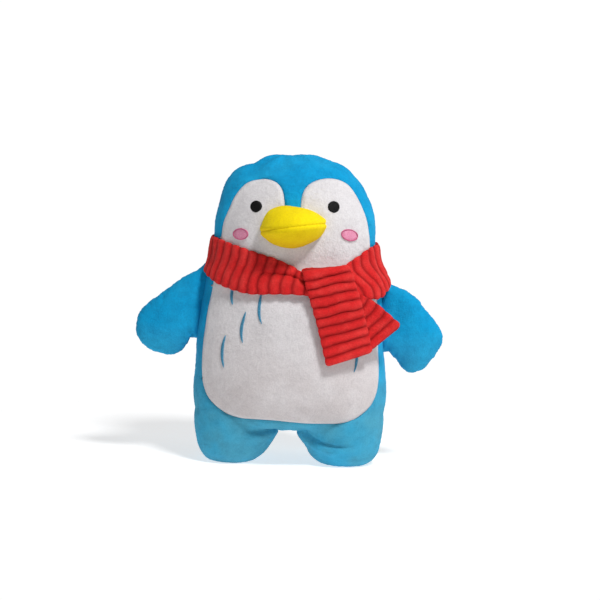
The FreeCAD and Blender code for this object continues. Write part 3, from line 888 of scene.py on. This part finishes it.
for side, eye_place, eye_tilt, cheek_place, cheek_width, tilt in (
        ("right", (-26.3, 182.3), 0.6, (-36.4, 162.9), 4.9, 0.06),
        ("left", (26.9, 183.8), -0.35, (38.6, 164.7), 5.6, -0.22)):
    for piece, rows, height, thread, thread_slot, node in (
            ("eye_stitches", oval_rows(eye_place, 4.45, 3.95, eye_tilt), 1.0, BLACK, "black_thread", "eye"),
            ("cheek_stitches", oval_rows(cheek_place, cheek_width, 3.5, tilt), 0.7, PINK, "pink_thread",
             "cheek"),
            ("cheek_ring", ring_rows(cheek_place, cheek_width + 0.1, 3.6, 0.9, tilt), 0.95, ROSE,
             "rose_thread", "cheek_outline")):
        add_stitches(f"{side}_{piece}", [stitched(rows, height)], thread, f"{side}_{node}")

# Lines of X and Z on the toy's right, mirrored to its left.
FEATHERS = [
    [(-40.4, 128), (-41.2, 123), (-41.3, 119), (-40.3, 114)],
    [(-20.2, 125), (-21.5, 117), (-21.6, 109), (-19.3, 102.4)],
    [(-30.8, 110.2), (-32.8, 103), (-33.6, 96), (-32.3, 88.4)],
    [(-44.4, 92.8), (-46.4, 85), (-46.5, 77.2), (-45.0, 70.2)],
]
for side, sign in (("right", 1), ("left", -1)):
    strokes = [stitched(feather_rows([(sign * x, z) for x, z in line], 2.0), 0.8) for line in FEATHERS]
    add_stitches(f"{side}_feathers", strokes, SLATE, f"{side}_feather_stitches")


# ---------------------------------------------------------------- scarf

def ribbed_strip(name, base, length, width, depth, seed, round_ends=(0, 0), first=0.0):
    """A folded strip of corduroy whose ribs run across it. base(s, t) gives its middle surface, with s along
    it and t across it, both from 0 to 1. It is a closed flat tube with rounded edges. depth is the ribs'
    height, round_ends gives the radius of the corners at each end, and first shifts the ribs."""
    thickness, step, columns = 3.2, 0.5, 44
    rows = int(length / step)
    s = np.linspace(0, 1, rows + 1)
    t = np.linspace(0, 1, columns + 1)
    t = 0.45 * (0.5 - 0.5 * np.cos(math.pi * t)) + 0.55 * t
    grid_s, grid_t = np.meshgrid(s, t, indexing="ij")
    random = np.random.default_rng(seed)
    flat = np.column_stack([grid_s.ravel() * length, grid_t.ravel() * width, np.zeros(grid_s.size)])
    wobble = (0.40 * waves(flat, 18, seed + 1) + 0.15 * waves(flat, 6, seed + 2)).reshape(grid_s.shape)
    phase = ((1 - grid_s) * length + wobble) / RIB + first
    share = phase - np.floor(phase)
    ridge = np.clip(1 - np.abs(2 * share - 1) ** 2.0, 0, 1) ** 0.85
    per_rib = 1 + 0.08 * random.normal(size=int(phase.max()) + 4)
    ridge = ridge * per_rib[np.clip(np.floor(phase).astype(int), 0, None)]
    # the corners are rounded, and every rib's end stands out a little at the edges
    inset = np.zeros_like(grid_s)
    for radius, gap in zip(round_ends, (grid_s * length, (1 - grid_s) * length)):
        if radius:
            inset += radius - np.sqrt(np.clip(radius**2 - np.clip(radius - gap, 0, radius) ** 2, 0, None))
    scallop = 0.6 * (ridge - 0.7) - inset
    place_t = 0.5 + (grid_t - 0.5) * (1 + 2 * scallop / width)
    middle = base(grid_s, place_t)
    ds = np.gradient(base(grid_s, grid_t), axis=0)
    dt = np.gradient(base(grid_s, grid_t), axis=1)
    normal = np.cross(ds, dt)
    normal /= np.maximum(np.linalg.norm(normal, axis=2, keepdims=True), 1e-9)
    edge = np.clip(1 - np.abs(2 * grid_t - 1) ** 9, 0, 1) ** 0.5
    ends = np.clip(1 - np.abs(2 * grid_s - 1) ** (length / 2.0), 0, 1) ** 0.5
    half = thickness / 2 * edge * ends
    fuzz = (0.09 * waves(middle.reshape(-1, 3), 2.6, seed + 3, 50)
            + 0.05 * random.normal(size=grid_s.size)).reshape(grid_s.shape)
    lift = (ridge - 0.7) * depth * edge * ends + fuzz
    top = middle + normal * (half + lift)[..., None]
    bottom = middle - normal * (half + 0.6 * lift)[..., None]
    ring = np.concatenate([top, bottom[:, ::-1]], axis=1)
    around = ring.shape[1]
    shade = np.concatenate([ridge, ridge[:, ::-1]], axis=1)
    faces = []
    for row in range(rows):
        for k in range(around):
            a, b = row * around + k, row * around + (k + 1) % around
            faces.append((a, a + around, b + around, b))
    for row in (0, rows):
        for k in range(columns):
            a = row * around + k
            d = row * around + around - 1 - k
            faces.append((a, a + 1, d - 1, d))
    obj = add_mesh(name, ring.reshape(-1, 3), faces, RED)
    # rib_height drives the painted shade in the grooves of the corduroy
    attribute = obj.data.attributes.new("rib_height", "FLOAT", "POINT")
    attribute.data.foreach_set("value", shade.ravel().astype(np.float32))
    bm = bmesh.new()
    bm.from_mesh(obj.data)
    bmesh.ops.recalc_face_normals(bm, faces=bm.faces)
    bm.to_mesh(obj.data)
    bm.free()
    return obj


# The band's top and bottom edges in front, in X and Z.
BAND_TOP = [
    (-70, 160.5), (-57, 160), (-50.6, 158), (-42.9, 155.6), (-35.9, 154), (-28.9, 152), (-22, 150),
    (-14.6, 148.2), (-8.3, 146), (-2.4, 143.6), (2.5, 141.2), (6.5, 138), (20, 136.5), (32, 139.5),
    (38, 144), (43, 147.7), (47.9, 150.6), (54.2, 155.2), (58, 157.6), (70, 158.5),
]
BAND_BOTTOM = [
    (-70, 136.5), (-65, 135.5), (-59.1, 132), (-53.3, 128.8), (-47.6, 126.8), (-42, 125.2),
    (-34.9, 123.6), (-28, 122.6), (-21.1, 122.5), (-13.3, 123.1), (-6.5, 123.4), (0.7, 123.6),
    (10, 123), (25, 121), (38, 120.5), (45, 121), (52.4, 120.6), (56, 121.8), (60.1, 124.3),
    (64.6, 129), (68.4, 133.4), (75, 136),
]


# The edges of the front strip and the rear tail, as seen from the front, from top to bottom.
FRONT_LEFT = [
    (6.2, 145.5), (6.6, 140), (7.9, 136), (9.3, 129.5), (11.7, 123), (14.2, 115.4), (17, 107.2),
    (19.3, 98.8), (21.8, 89), (24, 81.4), (25.6, 75),
]
FRONT_RIGHT = [
    (35.6, 151), (38.0, 145), (40.9, 140), (42.9, 134.6), (45.2, 127.5), (47.6, 121.3), (49.6, 113.9),
    (52.7, 103.3), (54.4, 96.4), (55.8, 90.8), (57.2, 84.8),
]
REAR_LEFT = [(42.5, 112.5), (46.5, 104), (50.5, 95), (55.6, 85.0)]
REAR_RIGHT = [(48.0, 124.5), (53.6, 121.6), (58.7, 119), (63.9, 114.7), (68.6, 110.8), (77.2, 103.4)]


def band_base():
    """The wrap round the neck: a function from (s, t) to places, and its length. It starts behind the front
    strip and runs past the toy's right side and back to its left."""
    neck_level = 142.0
    angles = np.linspace(math.radians(24), math.radians(-322), 420)
    radii = np.array([trunk_radius(a, neck_level) for a in angles])
    x, y = radii * np.sin(angles), -radii * np.cos(angles)
    along = np.concatenate([[0], np.cumsum(np.hypot(np.diff(x), np.diff(y)))])
    levels = np.linspace(112, 164, 27)
    ring = np.linspace(-math.pi, math.pi, 145)
    table = np.array([[trunk_radius(a, z) for a in ring] for z in levels])

    def radius(angle, z):
        angle = (angle + math.pi) % (2 * math.pi) - math.pi
        a = (angle + math.pi) / (2 * math.pi) * (len(ring) - 1)
        b = np.clip((z - levels[0]) / (levels[1] - levels[0]), 0, len(levels) - 1.001)
        i, j = np.clip(a.astype(int), 0, len(ring) - 2), b.astype(int)
        u, v = a - i, b - j
        return ((table[j, i] * (1 - u) + table[j, i + 1] * u) * (1 - v)
                + (table[j + 1, i] * (1 - u) + table[j + 1, i + 1] * u) * v)

    def base(s, t):
        angle = np.interp(s, along / along[-1], angles)
        r = np.interp(s, along / along[-1], radii)
        # the ribs lean: their tops to the right on the left of the knot, to the left on its right
        right = smoothstep(s, 0.80, 0.95)
        left = 1 - smoothstep(s, 0.20, 0.34)
        angle = angle + right * (-0.15 * (t - 0.5) + 0.035 * np.sin(2 * math.pi * t))
        angle = angle + left * (0.10 * (t - 0.4) * np.abs(t - 0.1) ** 0.4 - 0.012 * np.sin(2 * math.pi * t))
        across = r * np.sin(angle)
        at_front = np.cos(angle) > 0
        front_x = np.where(at_front, across, np.sign(across) * 76)
        top = np.interp(front_x * 1.03, *zip(*BAND_TOP))
        bottom = np.interp(front_x * 1.11, *zip(*BAND_BOTTOM))
        at_back = smoothstep(-np.cos(angle), -0.05, 0.5)
        top = top + at_back * (161.0 - top)
        bottom = bottom + at_back * (135.0 - bottom)
        z = bottom + (top - bottom) * t
        to_right = smoothstep(np.sin(angle), 0.6, 1.0)
        flare = (0.8 + 3.2 * to_right) * (1 - t) ** 2 - 1.1 * t**3
        # a deep crease runs obliquely into the knot, with a narrow roll above it
        crease = smoothstep(-s, -0.155, -0.06)
        level = 0.50 + 0.14 * smoothstep(-s, -0.15, -0.03)
        gap = (t - level) * 22
        fold = crease * (-3.4 * bell(gap, 1.5) + 1.6 * bell(gap - 4.2, 3.0) + 1.2 * bell(gap + 5, 4.0))
        places = np.stack([s * 300, t * 20, 0 * s], axis=-1).reshape(-1, 3)
        slack = 0.4 * waves(places, 42, 61).reshape(s.shape)
        near_knot = bell(np.sin(angle) - 0.3, 0.5) * at_front
        out = radius(angle, z) + 2.3 + flare + fold + slack + 1.3 * near_knot
        return np.stack([out * np.sin(angle), MID_Y - out * np.cos(angle), z], axis=-1)

    return base, along[-1]


def edge_strip(left, right, depth):
    """A strip between two edge lines in X and Z, with a function that gives Y."""
    def line(corners, s):
        corners = np.array(corners, float)
        steps = np.linalg.norm(np.diff(corners, axis=0), axis=1)
        at = np.concatenate([[0], np.cumsum(steps)]) / steps.sum()
        fine = np.linspace(0, 1, 80)
        smooth = []
        for k in range(2):
            values = np.interp(fine, at, corners[:, k])
            extended = np.concatenate([2 * values[0] - values[6:0:-1], values,
                                       2 * values[-1] - values[-2:-8:-1]])
            values = np.convolve(extended, np.ones(13) / 13, "valid")
            smooth.append(np.interp(s, fine, values))
        return np.stack(smooth, axis=-1)

    def base(s, t):
        a, b = line(left, s), line(right, s)
        flat = a + (b - a) * t[..., None]
        return depth(flat[..., 0], flat[..., 1], s, t)

    return base


def front_depth(x, z, s, t):
    """The front strip is bent back over the band's top edge, lies over the band, and hangs clear of the
    belly."""
    over_band = MID_Y - 47.4 * np.sqrt(np.clip(1 - (x / 73.0) ** 2, 0.05, 1)) - 2.2
    hanging = -39.2 + 0.30 * (x - 26.5) - 0.035 * (122 - z) + 0.004 * (x - 38) ** 2
    y = over_band + (hanging - over_band) * smoothstep(133 - z, 0, 16)
    y = y + 2.2 + 0.5 * np.sin(s * 9 + 1.0) * np.sin(t * 3.1)
    radius = 2.7
    bend_from = 137.6 + 0.09 * (x - 5.9)
    angle = np.clip((z - bend_from) / radius, 0, 2.3)
    beyond = np.clip(z - bend_from - 2.3 * radius, 0, None)
    z = np.where(z > bend_from, bend_from + radius * np.sin(angle) + beyond * math.cos(2.3), z)
    return np.stack([x, y + radius * (1 - np.cos(angle)) + beyond * math.sin(2.3), z], axis=-1)


def rear_depth(x, z, s, t):
    """The rear strip hangs a little clear of the belly, under the front one."""
    y = -26.6 + 0.19 * (x - 48.5) - 0.02 * (116 - z) + 0.8 * np.sin(3.1 * t) * s
    return np.stack([x, y, z], axis=-1)


def scarf():
    base, length = band_base()
    band = ribbed_strip("scarf_wrap", base, length, 25, seed=70, depth=1.7)
    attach(band, "body")
    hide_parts("scarf_band")

    front_base = edge_strip(FRONT_LEFT, FRONT_RIGHT, front_depth)
    front = ribbed_strip("scarf_front", front_base, 70.5, 32, seed=80, depth=2.1, round_ends=(0, 2.2),
                         first=0.10)
    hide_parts("scarf_front_tail", "scarf_knot")
    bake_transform(front)

    rear_base = edge_strip(REAR_LEFT, REAR_RIGHT, rear_depth)
    rear = ribbed_strip("scarf_rear", rear_base, 31, 24, seed=90, depth=1.7, round_ends=(0, 2.8))
    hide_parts("scarf_rear_tail")
    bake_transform(rear)


scarf()


# ---------------------------------------------------------------- floor, light and camera

FLOOR_RADIUS, FLOOR_SIDES = 0.3, 96
AIM = (6.0, -10.0, 117.8)  # the camera looks at this place, at the photograph's angle
CAMERA_DISTANCE = 0.991
CAMERA_ELEVATION, CAMERA_ROLL = math.radians(5), math.radians(2.0)


def area_light(name, place, target, size, power):
    light = bpy.data.lights.new(name, "AREA")
    light.shape = "DISK"
    light.size = size
    light.energy = power
    obj = bpy.data.objects.new(name, light)
    obj.location = place
    obj.rotation_euler = (Vector(target) - Vector(place)).to_track_quat("-Z", "Y").to_euler()
    bpy.context.scene.collection.objects.link(obj)


def stage():
    mesh = bpy.data.meshes.new("floor")
    rim = [(FLOOR_RADIUS * math.cos(a), FLOOR_RADIUS * math.sin(a), 0)
           for a in np.linspace(0, 2 * math.pi, FLOOR_SIDES, endpoint=False)]
    mesh.from_pydata(rim, [], [tuple(range(FLOOR_SIDES))])
    mesh.materials.append(pale_floor())
    floor = bpy.data.objects.new("floor", mesh)
    bpy.context.scene.collection.objects.link(floor)

    # the studio: white walls, dimmer on the camera's side, and a dim ceiling
    world = bpy.data.worlds.new("studio")
    world.use_nodes = True
    tree = world.node_tree
    direction = tree.nodes.new("ShaderNodeSeparateXYZ")
    tree.links.new(tree.nodes.new("ShaderNodeTexCoord").outputs["Generated"], direction.inputs[0])
    strength = tree.nodes.new("ShaderNodeValToRGB")
    first, second = strength.color_ramp.elements
    first.position, second.position = 0.15, 0.22
    first.color = (0.1, 0.1, 0.1, 1)
    for position, value in ((0.62, 1.0), (0.75, 0.15)):
        strength.color_ramp.elements.new(position).color = (value, value, value, 1)
    height = tree.nodes.new("ShaderNodeMapRange")
    height.inputs["From Min"].default_value = -1.0
    tree.links.new(direction.outputs["Z"], height.inputs["Value"])
    tree.links.new(height.outputs["Result"], strength.inputs["Fac"])
    nearer = tree.nodes.new("ShaderNodeMapRange")
    for name, value in (("From Min", -0.3), ("From Max", 0.5), ("To Min", 0.5), ("To Max", 1.03)):
        nearer.inputs[name].default_value = value
    tree.links.new(direction.outputs["Y"], nearer.inputs["Value"])
    background = tree.nodes["Background"]
    tree.links.new(strength.outputs["Color"], background.inputs["Color"])
    tree.links.new(nearer.outputs["Result"], background.inputs["Strength"])
    scene = bpy.context.scene
    scene.world = world
    scene.view_settings.view_transform = "Standard"
    scene.view_settings.look = "None"

    target = (0, 0, 0.11)
    area_light("key", (0.40, -0.60, 1.10), target, 0.25, 12.0)
    area_light("side", (1.1, -0.1, 0.5), target, 0.5, 2.1)

    camera_data = bpy.data.cameras.new("camera")
    camera_data.lens = 85
    camera_data.sensor_width = 36
    camera = bpy.data.objects.new("camera", camera_data)
    scene.collection.objects.link(camera)
    back = Vector((0, -math.cos(CAMERA_ELEVATION), math.sin(CAMERA_ELEVATION)))
    camera.location = Vector(AIM) * MM + back * CAMERA_DISTANCE
    camera.rotation_mode = "QUATERNION"
    camera.rotation_quaternion = Quaternion(back, CAMERA_ROLL) @ (-back).to_track_quat("-Z", "Y")
    scene.camera = camera


stage()
